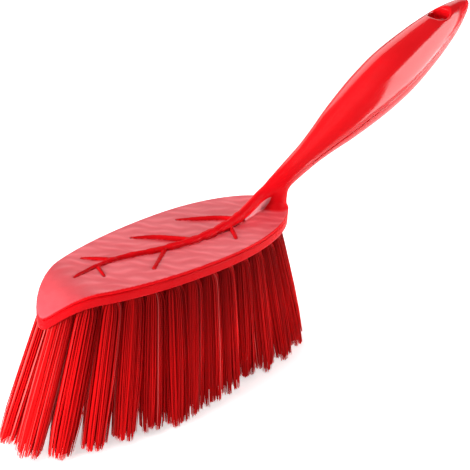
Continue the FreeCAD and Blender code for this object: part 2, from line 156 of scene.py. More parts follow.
# ------------------------------------------------------------- spine: main vein, stem, handle
# Handle sections: distance along its axis, share of the full grip width and height
HANDLE_SECTIONS = [
    (6.0, 0.415), (16.2, 0.472), (27.2, 0.590), (38.2, 0.733), (49.6, 0.848), (61.0, 0.940),
    (72.2, 0.987), (80.0, 1.0), (88.0, 0.978), (98.0, 0.915), (107.8, 0.835), (117.0, 0.735),
    (125.0, 0.625), (132.0, 0.490), (138.0, 0.340), (141.0, 0.245), (143.0, 0.145), (144.0, 0.03),
]
# Vein and stem sections: x, centre y, centre z, width, height
VEIN_SECTIONS = [
    (-60.0, 1.3, 6.30, 0.5, 0.4), (-58.0, 1.6, 6.70, 1.2, 1.2), (-48.0, 2.7, 6.85, 1.9, 1.8),
    (-37.0, 2.8, 6.9, 2.4, 2.3), (-27.0, 0.9, 6.95, 2.8, 2.6), (-18.0, -1.8, 6.95, 3.1, 2.8),
    (-9.0, -3.9, 7.0, 3.9, 3.3), (1.0, -5.3, 7.05, 4.3, 3.7), (11.0, -5.7, 7.15, 4.7, 4.1),
    (20.0, -5.3, 7.5, 4.9, 4.5), (28.0, -4.6, 8.3, 5.0, 4.7), (36.0, -3.4, 9.6, 5.2, 5.1),
    (44.0, -1.5, 11.6, 5.3, 5.3), (51.0, 0.0, 13.9, 5.6, 5.7), (56.0, 0.0, 15.6, 6.8, 6.8),
    (60.5, -0.1, 17.3, 8.8, 8.4), (66.5, -0.1, 19.7, 10.8, 10.2),
]
Y, Z, WIDTH, HEIGHT = 1, 2, 3, 4


def spine_table():
    rows = list(VEIN_SECTIONS)
    for distance, share in HANDLE_SECTIONS:
        centre = HANDLE_START + HANDLE_AXIS * distance
        rows.append((centre[0], 0.0, centre[2], GRIP_WIDTH * share, GRIP_HEIGHT * share))
    table = smooth_curve(rows, 1400)
    # the vein swells and thins a little along the leaf
    x = table[:, 0]
    waves = 0.11 * np.sin(0.62 * x) + 0.06 * np.sin(1.31 * x + 1.0)
    swell = 1.0 + waves * ease((44.0 - x) / 14.0)
    table[:, WIDTH] *= swell
    table[:, HEIGHT] *= 0.5 + 0.5 * swell
    return table


SPINE = spine_table()
SPINE_X = SPINE[:, 0]
SPINE_SLOPES = np.gradient(SPINE, SPINE_X, axis=0)


def spine_at(x, table, *columns):
    return [np.interp(x, SPINE_X, table[:, column]) for column in columns]


def along_handle(p):
    return (p - HANDLE_START) @ HANDLE_AXIS


def above_handle(p):
    return (p - HANDLE_START) @ HANDLE_NORMAL


def spine_shape(p):
    x, y, z = p.T
    # nearest station on the run, found in two steps
    station = np.where(x > 70.0, HANDLE_START[0] + along_handle(p) * HANDLE_AXIS[0], x)
    for _ in range(2):
        station = np.clip(station, SPINE_X[0], SPINE_X[-1])
        centre_y, centre_z = spine_at(station, SPINE, Y, Z)
        slope_y, slope_z = spine_at(station, SPINE_SLOPES, Y, Z)
        station = station + (((x - station) + (y - centre_y) * slope_y + (z - centre_z) * slope_z)
                             / (1 + slope_y * slope_y + slope_z * slope_z))
    unclipped = station
    station = np.clip(station, SPINE_X[0], SPINE_X[-1])
    centre_y, centre_z, width, height = spine_at(station, SPINE, Y, Z, WIDTH, HEIGHT)
    slope_y, slope_z = spine_at(station, SPINE_SLOPES, Y, Z)
    half_w, half_h = width / 2, height / 2
    length = np.sqrt(1 + slope_y * slope_y + slope_z * slope_z)
    # sideways and normal directions square to the run
    ones = np.ones_like(slope_y)
    side = np.stack([-slope_y, ones, np.zeros_like(slope_y)], 1)
    side /= np.linalg.norm(side, axis=1)[:, None]
    run = np.stack([ones, slope_y, slope_z], 1) / length[:, None]
    normal = np.cross(run, side)
    offset = p - np.stack([station, centre_y, centre_z], 1)
    gap = ellipse_gap((offset * side).sum(1), (offset * normal).sum(1), half_w, half_h)
    gap = np.maximum(gap, -np.minimum(half_w, half_h))
    beyond = np.abs(unclipped - station) * length
    return np.where(beyond > 1e-4, np.sqrt(np.maximum(gap, 0) ** 2 + beyond ** 2), gap)


# ---------------------------------------------------------------------------- leaf cover
# Side veins: points of x, y, z, radius
SIDE_VEINS = [
    [(33.0, -2.4, 7.5, 1.45), (28.5, 3.6, 7.05, 1.3), (20.0, 9.2, 7.0, 1.1),
     (10.2, 15.8, 6.6, 0.45)],
    [(3.0, -4.4, 7.0, 1.4), (-3.5, 2.2, 7.1, 1.25), (-10.0, 8.6, 7.0, 1.05),
     (-18.3, 14.6, 6.6, 0.45)],
    [(-37.0, 2.6, 6.9, 1.0), (-40.6, 6.0, 6.95, 0.9), (-44.2, 9.4, 6.9, 0.75),
     (-47.9, 13.0, 6.6, 0.4)],
    [(26.9, -5.0, 7.0, 1.0), (25.6, -8.4, 6.95, 0.85), (24.2, -11.8, 6.85, 0.75),
     (22.3, -15.4, 6.75, 0.65)],
    [(-11.7, -3.6, 6.9, 0.95), (-16.3, -6.9, 6.85, 0.75), (-21.4, -10.5, 6.75, 0.65),
     (-26.2, -14.0, 6.75, 0.75)],
    [(-46.4, 2.2, 6.8, 0.75), (-47.0, -0.6, 6.8, 0.65), (-47.7, -3.4, 6.75, 0.55),
     (-48.5, -6.1, 6.6, 0.4)],
]
VEIN_CURVES = [smooth_curve([(float(i),) + row for i, row in enumerate(rows)], 10)[:, 1:]
               for rows in SIDE_VEINS]
# Lobe where the stem meets the leaf's base: z, centre x, half length, half width
LOBE_SECTIONS = np.array([
    (4.6, 57.6, 7.6, 11.4), (5.6, 58.0, 7.4, 10.8), (7.4, 59.8, 6.4, 8.6), (9.8, 61.6, 5.8, 6.3),
    (13.2, 63.1, 5.5, 5.0), (18.2, 64.8, 5.1, 4.5), (20.0, 65.4, 4.5, 4.2),
])


def side_veins(p):
    x, y, z = p.T
    gap = np.full(len(p), 50.0)
    near = np.nonzero((z < 14.0) & (x < 36.0) & (np.abs(y) < 24.0) & (x > -58.0))[0]
    if not len(near):
        return gap
    points = p[near]
    best = np.full(len(points), 50.0)
    for curve in VEIN_CURVES:
        for start, end in zip(curve[:-1], curve[1:]):
            run = end[:3] - start[:3]
            offset = points - start[:3]
            share = np.clip((offset @ run) / (run @ run), 0, 1)
            radius = start[3] + share * (end[3] - start[3])
            distance = np.linalg.norm(offset - share[:, None] * run, axis=1) - radius
            best = soft_min(best, distance, 0.25)
    gap[near] = best
    return gap


def hammer(x, y):
    """Height of the lightly hammered face: long shallow dents in staggered rows."""
    turn = math.radians(-40.6)
    dent_length, dent_width = 14.0, 6.2
    u = (x * math.cos(turn) + y * math.sin(turn)) / dent_length
    v = (-x * math.sin(turn) + y * math.cos(turn)) / dent_width
    # rows bent by slow waves
    row = (v + 0.08 * np.sin(2 * math.pi * u + 1.9 * np.sin(1.1 * v))
           + 0.15 * np.sin(2.3 * u + 1.3 * v + 0.4))
    dent = 0.5 + 0.5 * np.cos(2 * math.pi * row)
    cell = 0.5 + 0.5 * np.cos(2 * math.pi * (u + 0.5 * np.sin(math.pi * row + 0.6)))
    return 0.035 * dent + 0.080 * cell * dent + 0.030 * np.sin(2.6 * u + 0.7) * np.cos(1.3 * v)


def plate(p, vein_gap):
    """The leaf itself: a curved plate with a sunk, hammered face and grooves beside veins."""
    x, y, z = p.T
    edge = outline_gap(x, y)
    drop, cosine = curl_drop(x)
    face = ease((-edge - 0.9) / 2.0)
    groove = 0.26 * np.exp(-((np.maximum(vein_gap, 0.0) - 0.25) / 0.36) ** 2)
    top = RIM_Z - drop + 0.04 - 0.12 * face + hammer(x, y) * face - groove
    over = (z - top) * cosine
    under = ((RIM_Z - COVER_THICK - drop) - z) * cosine
    return soft_max(soft_max(over, under, 0.25), edge, 0.55)


def lobe(p):
    x, y, z = p.T
    centre, half_x, half_y = [np.interp(z, LOBE_SECTIONS[:, 0], LOBE_SECTIONS[:, k])
                              for k in (1, 2, 3)]
    gap = ellipse_gap(x - centre, y, half_x, half_y) * 0.85
    return np.maximum(np.maximum(gap, z - 18.6), 4.0 - z)


def web_shape(p):
    """Thin upright web between stem and leaf."""
    x, y, z = p.T
    centre_y, centre_z = spine_at(x, SPINE, Y, Z)
    across = np.abs(y - centre_y + 0.9) - 1.05
    return np.maximum.reduce([across, z - centre_z, 37.0 - x, x - 64.0, 5.0 - z])


def cut_hole(p, gap):
    """Upright hole near the handle's end, with a rounded edge."""
    far = np.nonzero(p[:, 0] > 155.0)[0]
    if len(far):
        hole = np.hypot(p[far, 0] - HOLE_X, p[far, 1]) - HOLE_RADIUS
        gap[far] = soft_max(gap[far], -hole, 1.6)
    return gap


def cover_shape(p):
    along = along_handle(p)
    spine = spine_shape(p)
    seam = np.minimum(SEAM_OFFSET - above_handle(p), along - COVER_SEAM_START)
    spine = np.where(along > 4.0, soft_max(spine, seam, SEAM_ROUND), spine)
    veins = side_veins(p)
    gap = plate(p, np.minimum(spine, veins))
    gap = soft_min(gap, spine, 0.45)
    gap = soft_min(gap, veins, 0.40)
    near = np.nonzero((p[:, 0] > 30.0) & (p[:, 0] < 80.0) & (p[:, 2] < 30.0))[0]
    if len(near):
        q = p[near]
        z = q[:, 2]
        base = soft_min(gap[near], web_shape(q), 0.8)
        base = soft_min(base, lobe(q), 2.2)
        # keep the leaf's base end inside its own outline below the upper face
        edge = outline_gap(q[:, 0], q[:, 1])
        gap[near] = np.where(z < RIM_Z, np.maximum(base, edge - 0.02), base)
    drop, _ = curl_drop(p[:, 0])
    gap = np.maximum(gap, (RIM_Z - COVER_THICK - drop) - p[:, 2])
    return cut_hole(p, gap)


def cover_marks(p):
    """Masks from 0 to 1 that steer the cover's material, by attribute name."""
    x, y, z = p.T
    spine = spine_shape(p)
    vein_gap = np.minimum(spine, side_veins(p))
    off_level = np.abs(z - (RIM_Z - curl_drop(x)[0]))
    lobe_gap = lobe(p)
    face = (ease((-outline_gap(x, y) - 0.25) / 0.35) * ease((vein_gap - 0.10) / 0.45)
            * ease((1.2 - off_level) / 0.5))
    face = face * ease((lobe_gap - 0.2) / 1.2)
    # painted shade at the feet of the veins, where the plate meets them
    foot_shade = (np.exp(-((np.maximum(vein_gap, 0.0) - 0.20) / 0.30) ** 2)
            * ease((1.6 - off_level) / 0.8))
    # painted reflection on the near (-y) face of the web
    web = (ease((0.45 - np.abs(web_shape(p))) / 0.2) * ease((spine - 0.12) / 0.3)
           * ease((lobe_gap - 0.3) / 0.6) * ease((z - RIM_Z - 0.25) / 0.4)
           * ease((60.0 - x) / 2.0) * (x > 34.0) * (y < 0.0))
    return {
        # face: where the pale tone goes (partly painted reflection) and the duller finish
        "face": face,
        "foot_shade": np.clip(foot_shade, 0, 1),
        "web": web,
        # curl: where painted shade darkens the curled-down tip
        "curl": ease((-54.0 - x) / 12.0) * face,
        # dent: steers the painted light and shade along the dents
        "dent": np.clip(hammer(x, y) / 0.12, 0.0, 1.0),
        "gloss": ease((x - 62.0) / 14.0) * ease((z - 14.0) / 4.0),
    }


def lower_shape(p):
    seam = np.maximum(above_handle(p) + SEAM_OFFSET, LOWER_SEAM_START - along_handle(p))
    return cut_hole(p, soft_max(spine_shape(p), seam, SEAM_ROUND))


# ---------------------------------------------------------------- meshing by surface nets
BLOCK = 8           # samples along a side of a block that is skipped or sampled as one
BLOCK_REACH = 7.0   # a block is sampled if its centre is nearer to the surface than this
BLOCK_GROUP = 400   # blocks sampled in one call


def sample_field(shape, axes):
    """Samples the shape on the grid; blocks far from the surface get a flat value."""
    sizes = [len(axis) for axis in axes]
    field = np.full(sizes, 9.0, np.float32)
    starts = [np.arange(0, size, BLOCK) for size in sizes]
    middles = [0.5 * (axis[first] + axis[np.minimum(first + BLOCK, len(axis) - 1)])
               for axis, first in zip(axes, starts)]
    grid = np.meshgrid(*middles, indexing="ij")
    centre = shape(np.stack([g.ravel() for g in grid], 1)).reshape(grid[0].shape)

    def block_start(block):
        return [first[i] for first, i in zip(starts, block)]

    for block in np.argwhere(centre <= -BLOCK_REACH):
        field[tuple(slice(s, s + BLOCK) for s in block_start(block))] = -9.0
    todo = np.argwhere(np.abs(centre) < BLOCK_REACH)
    for group in range(0, len(todo), BLOCK_GROUP):
        where = []
        for block in todo[group:group + BLOCK_GROUP]:
            ranges = [np.arange(s, min(s + BLOCK, size))
                      for s, size in zip(block_start(block), sizes)]
            where.append(np.stack([g.ravel() for g in np.meshgrid(*ranges, indexing="ij")], 1))
        where = np.concatenate(where)
        points = np.stack([axis[where[:, k]] for k, axis in enumerate(axes)], 1)
        field[tuple(where.T)] = shape(points)
    return field


def settle_faces(field):
    """Where the samples of a cell face alternate, takes one more as solid, so that no edge
    gets four faces. Changes the field and returns which samples are inside."""
    inside = field < 0
    for _ in range(8):
        found = 0
        for first, second in ((0, 1), (0, 2), (1, 2)):
            part = {}
            for i, j in product((0, 1), repeat=2):
                cut = [slice(None)] * 3
                cut[first] = slice(i, field.shape[first] - 1 + i)
                cut[second] = slice(j, field.shape[second] - 1 + j)
                part[i, j] = inside[tuple(cut)]
            at = np.argwhere((part[0, 0] == part[1, 1]) & (part[0, 1] == part[1, 0])
                             & (part[0, 0] != part[0, 1]))
            found += len(at)
            at[inside[tuple(at.T)], first] += 1
            at = tuple(at.T)
            inside[at] = True
            field[at] = np.minimum(field[at], -0.01)
        if not found:
            break
    return inside


def net_vertices(field, inside, axes, step):
    """One vertex per cell that the surface crosses, at the mean of its edge crossings."""
    corners = list(product((0, 1), repeat=3))
    cells = np.zeros(tuple(n - 1 for n in field.shape), np.int8)
    for corner in corners:
        cells += inside[tuple(slice(c, n - 1 + c) for c, n in zip(corner, field.shape))]
    live = np.argwhere((cells > 0) & (cells < 8))
    index = np.full(cells.shape, -1, np.int64)
    index[tuple(live.T)] = np.arange(len(live))
    values = {c: field[tuple((live + np.array(c)).T)].astype(float) for c in corners}
    total = np.zeros((len(live), 3))
    count = np.zeros(len(live))
    for corner in corners:
        for axis in range(3):
            if corner[axis]:
                continue
            other = tuple(1 if k == axis else corner[k] for k in range(3))
            here, there = values[corner], values[other]
            cross = (here < 0) != (there < 0)
            position = np.tile(np.array(corner, float), (len(live), 1))
            position[:, axis] += np.where(cross, here / np.where(cross, here - there, 1.0), 0.0)
            total += np.where(cross[:, None], position, 0.0)
            count += cross
    base = np.stack([values[live[:, k]] for k, values in enumerate(axes)], 1)
    return base + total / count[:, None] * step, index


def net_quads(inside, index):
    """One quad around every grid edge that crosses the surface."""
    quads = []
    for axis in range(3):
        before, after = [slice(None)] * 3, [slice(None)] * 3
        before[axis], after[axis] = slice(0, -1), slice(1, None)
        edge = np.argwhere(inside[tuple(before)] != inside[tuple(after)])
        first, second = [k for k in range(3) if k != axis]
        keep = ((edge[:, first] > 0) & (edge[:, second] > 0)
                & (edge[:, first] < inside.shape[first] - 1)
                & (edge[:, second] < inside.shape[second] - 1))
        edge = edge[keep]
        ring = []
        for move_first, move_second in ((-1, -1), (0, -1), (0, 0), (-1, 0)):
            cell = edge.copy()
            cell[:, first] += move_first
            cell[:, second] += move_second
            ring.append(index[tuple(cell.T)])
        ring = np.stack(ring, 1)
        starts_inside = inside[tuple(edge.T)]
        backward = starts_inside if axis == 1 else ~starts_inside
        ring[backward] = ring[backward][:, ::-1]
        quads.append(ring)
    return np.concatenate(quads)


def gradient(shape, verts):
    reach = 0.06
    return np.stack([shape(verts + move) - shape(verts - move)
                     for move in np.eye(3) * reach], 1) / (2 * reach)


def project(shape, verts, limit):
    """Moves the vertices towards the surface, each by no more than the limit."""
    slope = gradient(shape, verts)
    steepness = np.maximum((slope * slope).sum(1), 0.15)
    move = -(shape(verts) / steepness)[:, None] * slope
    size = np.linalg.norm(move, axis=1)[:, None]
    return verts + move * np.minimum(1.0, limit / np.maximum(size, 1e-9))


def relax(shape, verts, quads, limit):
    """Evens out the vertices along the surface."""
    edges = np.concatenate([quads[:, pair] for pair in ([0, 1], [1, 2], [2, 3], [3, 0])])
    total, count = np.zeros_like(verts), np.zeros(len(verts))
    for a, b in ((0, 1), (1, 0)):
        for axis in range(3):
            total[:, axis] += np.bincount(edges[:, a], weights=verts[edges[:, b], axis],
                                          minlength=len(verts))
        count += np.bincount(edges[:, a], minlength=len(verts))
    normal = gradient(shape, verts)
    normal /= np.maximum(np.linalg.norm(normal, axis=1), 1e-6)[:, None]
    shift = total / np.maximum(count, 1)[:, None] - verts
    shift -= (shift * normal).sum(1)[:, None] * normal
    return project(shape, verts + 0.6 * shift, limit)


def surface_nets(shape, low, high, step, relax_times):
    axes = [np.arange(low[k] - 2 * step, high[k] + 3 * step, step) for k in range(3)]
    field = sample_field(shape, axes)
    inside = settle_faces(field)
    verts, index = net_vertices(field, inside, axes, step)
    quads = net_quads(inside, index)
    limit = 0.6 * step
    for _ in range(2):
        verts = project(shape, verts, limit)
    for _ in range(relax_times):
        verts = relax(shape, verts, quads, limit)
    return verts, quads


# ------------------------------------------------------------------------ mesh and objects
def build_mesh(name, verts, loops, totals):
    """Mesh from vertices in millimetres, corner indices and corner counts per face."""
    mesh = bpy.data.meshes.new(name)
    mesh.vertices.add(len(verts))
    mesh.vertices.foreach_set("co", to_row(verts).astype(np.float32).ravel())
    mesh.loops.add(len(loops))
    mesh.loops.foreach_set("vertex_index", loops.astype(np.int32))
    mesh.polygons.add(len(totals))
    starts = np.concatenate([[0], np.cumsum(totals)[:-1]])
    mesh.polygons.foreach_set("loop_start", starts.astype(np.int32))
    mesh.polygons.foreach_set("loop_total", totals.astype(np.int32))
    mesh.update(calc_edges=True)
    mesh.validate()
    return mesh


def set_attribute(mesh, name, values, kind="FLOAT", field="value"):
    attribute = mesh.attributes.new(name, kind, "POINT")
    attribute.data.foreach_set(field, values.astype(np.float32).ravel())


def add_object(name, data):
    made = bpy.data.objects.new(name, data)
    bpy.context.scene.collection.objects.link(made)
    return made


def add_shell(name, verts, quads, material, part):
    """A smooth hard piece that moves with the head and stands in for a CAD part."""
    mesh = build_mesh(name, verts, quads.ravel(), np.full(len(quads), 4))
    mesh.polygons.foreach_set("use_smooth", np.ones(len(mesh.polygons), bool))
    shell = add_object(name, mesh)
    mesh.materials.append(material)
    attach(shell, "head")
    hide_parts(part)
    return shell


# ------------------------------------------------------------------------------ materials
class Nodes:
    """A node tree; node inputs are given by name or index, as a value or a socket to link."""

    def __init__(self, owner):
        owner.use_nodes = True
        self.tree = owner.node_tree

    def feed(self, node, inputs):
        for key, value in inputs.items():
            if isinstance(value, bpy.types.NodeSocket):
                self.tree.links.new(value, node.inputs[key])
            else:
                node.inputs[key].default_value = value

    def add(self, kind, inputs, **settings):
        node = self.tree.nodes.new(kind)
        for key, value in settings.items():
            setattr(node, key, value)
        self.feed(node, inputs)
        return node.outputs

    def coords(self):
        return self.add("ShaderNodeTexCoord", {})["Object"]

    def attribute(self, name, output="Fac"):
        return self.add("ShaderNodeAttribute", {}, attribute_name=name)[output]

    def camera_ray(self):
        return self.add("ShaderNodeLightPath", {})["Is Camera Ray"]

    def noise(self, coords, **inputs):
        return self.add("ShaderNodeTexNoise", {"Vector": coords, **inputs})["Fac"]

    def ramp(self, factor, *stops):
        outputs = self.add("ShaderNodeValToRGB", {"Fac": factor})
        elements = self.tree.nodes[-1].color_ramp.elements
        while len(elements) < len(stops):
            elements.new(0.5)
        for element, (position, colour) in zip(elements, stops):
            element.position = position
            element.color = (*colour, 1)
        return outputs["Color"]

    def remap(self, value, to_low, to_high, from_low=0.0, from_high=1.0):
        return self.add("ShaderNodeMapRange", {
            "Value": value, "From Min": from_low, "From Max": from_high,
            "To Min": to_low, "To Max": to_high})["Result"]

    def mix(self, factor, first, second, **settings):
        # 6, 7 and output 2 are the colour sockets
        return self.add("ShaderNodeMix", {"Factor": factor, 6: first, 7: second},
                        data_type="RGBA", **settings)[2]

    def math(self, operation, *values):
        return self.add("ShaderNodeMath", dict(enumerate(values)), operation=operation)["Value"]

    def bump(self, height, strength, distance, **inputs):
        return self.add("ShaderNodeBump", {
            "Height": height, "Strength": strength, "Distance": distance, **inputs})["Normal"]


def new_material(name):
    material = bpy.data.materials.new(name)
    nodes = Nodes(material)
    return material, nodes, nodes.tree.nodes["Principled BSDF"]


def plastic(name, light, dark, roughness, coat, bump, mark_scale):
    material, nodes, surface = new_material(name)
    coords = nodes.coords()
    # slow colour drift, fine handling marks in the gloss, and a finer grain in relief
    drift = nodes.noise(coords, Scale=38.0, Detail=4.0)
    marks = nodes.noise(coords, Scale=mark_scale, Detail=6.0, Roughness=0.62)
    grain = nodes.noise(coords, Scale=mark_scale * 2.2, Detail=3.0)
    nodes.feed(surface, {
        "Base Color": nodes.ramp(drift, (0.30, dark), (0.72, light)),
        "Roughness": nodes.remap(marks, to_low=roughness * 0.75, to_high=roughness * 1.45,
                                 from_low=0.3, from_high=0.75),
        "Normal": nodes.bump(grain, strength=bump, distance=0.0003),
        "IOR": 1.5,
        "Coat Weight": coat,
        "Coat Roughness": roughness * 0.5,
        "Subsurface Weight": 0.08,
        "Subsurface Radius": (0.004, 0.0006, 0.0005),
        "Subsurface Scale": 0.5,
    })
    return material


def frost_and_painted_light(material):
    """Makes the hammered leaf face paler and duller, partly as a frosted finish and partly as
    painted reflection, with painted light and shade along its dents; paints shade at the feet of
    the veins and on the curled tip, paints a pale reflection on the web's near face, and leaves
    the full polish to the handle."""
    nodes = Nodes(material)
    surface = nodes.tree.nodes["Principled BSDF"]
    base = surface.inputs["Base Color"].links[0].from_socket
    roughness = surface.inputs["Roughness"].links[0].from_socket
    face = nodes.attribute("face")
    gloss = nodes.attribute("gloss")
    noise = nodes.noise(nodes.coords(), Scale=160.0, Detail=3.0)
    # painted light and shade on the face, following its dents, with some noise
    painted_dent_light = nodes.math("MULTIPLY_ADD", nodes.attribute("dent"), 0.55,
                           nodes.math("MULTIPLY", noise, 0.30))
    # pale face tone: partly a frosted finish, partly painted reflection of the white lamps
    pale = nodes.ramp(painted_dent_light, (0.08, (0.76, 0.054, 0.072)), (0.62, (0.92, 0.134, 0.158)))
    # painted shade on the curled-down tip
    curl_painted_shade = nodes.ramp(noise, (0.3, (0.60, 0.060, 0.074)), (0.7, (0.65, 0.078, 0.092)))
    # painted reflection on the web's near face
    web_painted_reflection = nodes.ramp(noise, (0.3, (0.84, 0.30, 0.33)), (0.7, (0.90, 0.42, 0.45)))
    # painted shade at the feet of the veins
    shade = nodes.remap(nodes.attribute("foot_shade"), to_low=1.0, to_high=0.55)
    colour = nodes.mix(face, base, pale)
    colour = nodes.mix(nodes.attribute("curl"), colour, curl_painted_shade)
    colour = nodes.mix(nodes.attribute("web"), colour, web_painted_reflection)
    colour = nodes.mix(1.0, colour, shade, blend_type="MULTIPLY")
    shiny = nodes.math("MAXIMUM", gloss, face)
    nodes.feed(surface, {
        "Base Color": colour,
        "Roughness": nodes.math("MULTIPLY_ADD", face, 0.20, roughness),
        "Coat Weight": nodes.remap(gloss, to_low=0.0, to_high=0.35),
        "Specular IOR Level": nodes.remap(shiny, to_low=0.03, to_high=0.47),
    })


def filament_material():
    material, nodes, surface = new_material("red_filament")
    # each filament has its own tone, the palest ones painted highlights, and painted shade darkens
    # it towards its root
    tone = nodes.ramp(nodes.attribute("fil"),
                      (0.0, (0.56, 0.002, 0.003)), (0.5, (0.82, 0.003, 0.004)),
                      (0.87, (0.97, 0.006, 0.008)), (1.0, (0.98, 0.13, 0.12)))
    root_shade = nodes.remap(nodes.attribute("run"), to_low=0.50, to_high=1.0, from_high=0.5)
    # streaks drawn out along z
    streaks = nodes.noise(nodes.add("ShaderNodeMapping", {
        "Vector": nodes.coords(), "Scale": (1500.0, 1500.0, 90.0)})["Vector"],
        Scale=1.0, Detail=2.0)
    # light falls across a tuft as a whole as much as across each filament;
    # 4, 5 and output 1 are the mix node's vector sockets
    normal = nodes.add("ShaderNodeMix", {
        "Factor": 0.70,
        4: nodes.add("ShaderNodeNewGeometry", {})["Normal"],
        5: nodes.attribute("lean", "Vector"),
    }, data_type="VECTOR")[1]
    normal = nodes.add("ShaderNodeVectorMath", {0: normal}, operation="NORMALIZE")["Vector"]
    nodes.feed(surface, {
        "Base Color": nodes.mix(1.0, tone, root_shade, blend_type="MULTIPLY"),
        "Roughness": nodes.remap(streaks, to_low=0.30, to_high=0.50),
        "Normal": nodes.bump(streaks, strength=0.25, distance=0.00008, Normal=normal),
        "IOR": 1.5,
        "Specular IOR Level": 0.04,
    })
    return material


def steel_material():
    material, nodes, surface = new_material("anchor_steel")
    noise = nodes.noise(nodes.coords(), Scale=900.0)
    nodes.feed(surface, {
        "Base Color": nodes.ramp(noise, (0.3, (0.42, 0.42, 0.43)), (0.7, (0.62, 0.62, 0.64))),
        "Metallic": 1.0,
        "Roughness": 0.35,
    })
    return material


def floor_material():
    """Pale floor that fades to plain white away from the object."""
    material, nodes, surface = new_material("pale_floor")
    coords = nodes.coords()
    noise = nodes.noise(coords, Scale=3.0)
    away = nodes.add("ShaderNodeVectorMath", {0: coords}, operation="LENGTH")["Value"]
    fade = nodes.remap(away, to_low=0.55, to_high=1.0, from_low=0.35, from_high=1.1)
    nodes.feed(surface, {
        "Base Color": nodes.ramp(noise, (0.0, (0.93, 0.93, 0.93)), (1.0, (0.96, 0.96, 0.96))),
        "Roughness": 0.9,
        "Emission Color": (1, 1, 1, 1),
        "Emission Strength": nodes.remap(nodes.camera_ray(), to_low=0.28, to_high=fade),
    })
    return material


SHELL_LOOK = dict(light=(0.79, 0.005, 0.010), dark=(0.70, 0.004, 0.007),
                  roughness=0.14, coat=0.35, mark_scale=420.0)
COVER_MATERIAL = plastic("red_cover_plastic", bump=0.07, **SHELL_LOOK)
GRIP_MATERIAL = plastic("red_grip_plastic", bump=0.06, **SHELL_LOOK)
frost_and_painted_light(COVER_MATERIAL)
BLOCK_MATERIAL = plastic("red_block_plastic", light=(0.68, 0.004, 0.008),
                         dark=(0.58, 0.003, 0.006), roughness=0.30, coat=0.0, bump=0.10,
                         mark_scale=520.0)
block_surface = BLOCK_MATERIAL.node_tree.nodes["Principled BSDF"]
block_surface.inputs["Specular IOR Level"].default_value = 0.05
FILAMENT_MATERIAL = filament_material()
STEEL_MATERIAL = steel_material()


# ------------------------------------------------------------------------ cover and handle
def make_cover():
    verts, quads = surface_nets(
        cover_shape, low=(LEAF_X - TIP_LENGTH, -HALF_WIDTH, -10.5), high=(197.0, HALF_WIDTH, 92.0),
        step=0.55, relax_times=2)
    cover = add_shell("leaf_cover_skin", verts, quads, COVER_MATERIAL,
                      part="leaf_cover")
    for name, values in cover_marks(verts).items():
        set_attribute(cover.data, name, values)


def make_handle_bottom():
    verts, quads = surface_nets(
        lower_shape, low=(78.0, -15.5, 11.0), high=(197.0, 15.5, 90.0),
        step=0.7, relax_times=2)
    add_shell("handle_bottom_skin", verts, quads, GRIP_MATERIAL,
              part="handle_bottom_shell")


make_cover()
make_handle_bottom()


# ---------------------------------------------------------------------------- tuft layout
# root is the x, y, z of a tuft's middle at the block's underside, end the x, y of its far end
Tuft = namedtuple("Tuft", "name row root end")


def ring(inset_tip, inset_base, inset_side, count):
    """Points evenly spaced by length around an inset leaf outline."""
    tip, base = TIP_LENGTH - inset_tip, BASE_LENGTH - inset_base
    half_width = HALF_WIDTH - inset_side
    steps = 4000
    points = []
    for i in range(steps + 1):
        angle = 2 * math.pi * i / steps
        length = base if math.cos(angle) > 0 else tip
        points.append((LEAF_X + length * math.cos(angle), half_width * math.sin(angle)))
    run = [0.0]
    for a, b in zip(points[:-1], points[1:]):
        run.append(run[-1] + math.dist(a, b))
    placed, j = [], 0
    for k in range(count):
        wanted = (k + 0.5) / count * run[-1]
        while run[j + 1] < wanted:
            j += 1
        share = (wanted - run[j]) / (run[j + 1] - run[j])
        placed.append(tuple(a + share * (b - a) for a, b in zip(points[j], points[j + 1])))
    return placed


def tuft_end(x, y):
    """Where a tuft rooted at x, y ends: the tufts fan out lengthwise and sideways."""
    fan = 0.43 * x if x > 0 else -28.0 * (abs(x) / 69.0) ** 1.9
    spread = 0.40 - 0.30 * ease((x + 20) / 45.0) + 0.35 * ease((x - 30) / 25.0)
    return np.array([x + fan, y * (1 + float(spread))])


ROWS = {
    "outer": ring(inset_tip=10.2, inset_base=10.4, inset_side=4.6, count=28),
    "middle": ring(inset_tip=20.0, inset_base=20.5, inset_side=13.6, count=20),
    "centre": [(-42.0 + 12.0 * k, 0.0) for k in range(7)],
}
TUFTS = [Tuft("tuft_%s_%02d" % (row, k + 1), row, np.array([x, y, -float(curl_drop(x)[0])]),
              tuft_end(x, y))
         for row, places in ROWS.items() for k, (x, y) in enumerate(places)]


# ------------------------------------------------------------------------------ tuft block
TUFT_HOLE_RADIUS = 2.2
TUFT_HOLE_DEPTH = 4.1


def tuft_holes(p):
    """Blind holes along the direction of each tuft."""
    gap = np.full(len(p), 50.0)
    for tuft in TUFTS:
        down = np.array([*(tuft.end - tuft.root[:2]), -TUFT_DEPTH - tuft.root[2]])
        down = down / np.linalg.norm(down)
        offset = p - tuft.root
        close = np.nonzero((np.abs(offset[:, 0]) < 9.0) & (np.abs(offset[:, 1]) < 9.0))[0]
        if not len(close):
            continue
        near = offset[close]
        along = near @ down
        radius = np.linalg.norm(near - along[:, None] * down, axis=1)
        hole = np.maximum(radius - TUFT_HOLE_RADIUS, -TUFT_HOLE_DEPTH - along)
        gap[close] = np.minimum(gap[close], hole)
    return gap


